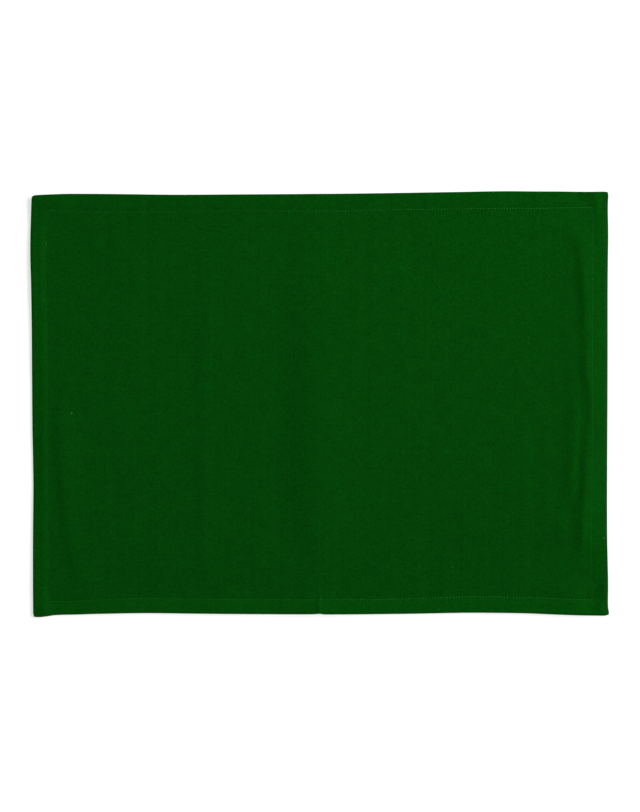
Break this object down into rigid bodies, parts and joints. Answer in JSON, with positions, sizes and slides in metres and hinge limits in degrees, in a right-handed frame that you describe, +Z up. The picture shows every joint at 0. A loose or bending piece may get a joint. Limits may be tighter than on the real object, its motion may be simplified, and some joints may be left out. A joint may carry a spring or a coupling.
{
  "type": "fabric placemat",
  "caption": "Rectangular woven cotton placemat with a mitred, topstitched double-fold hem all round, lying flat with soft fold creases and a low buckle beside one short hem.",
  "frame": {"origin": "on the table, under the middle of the mat's bounding box", "axes": "+X along the long side, to the right of the person who sits at the mat; +Y along the short side, away from that person; +Z up from the table"},
  "size_m": [0.4828, 0.3554, 0.0055],
  "materials": {
    "green_cotton": "matt plain-woven cotton canvas, piece-dyed"
  },
  "bodies": {
    "root": {"placemat_cloth": "green_cotton"}
  },
  "joints": []
}
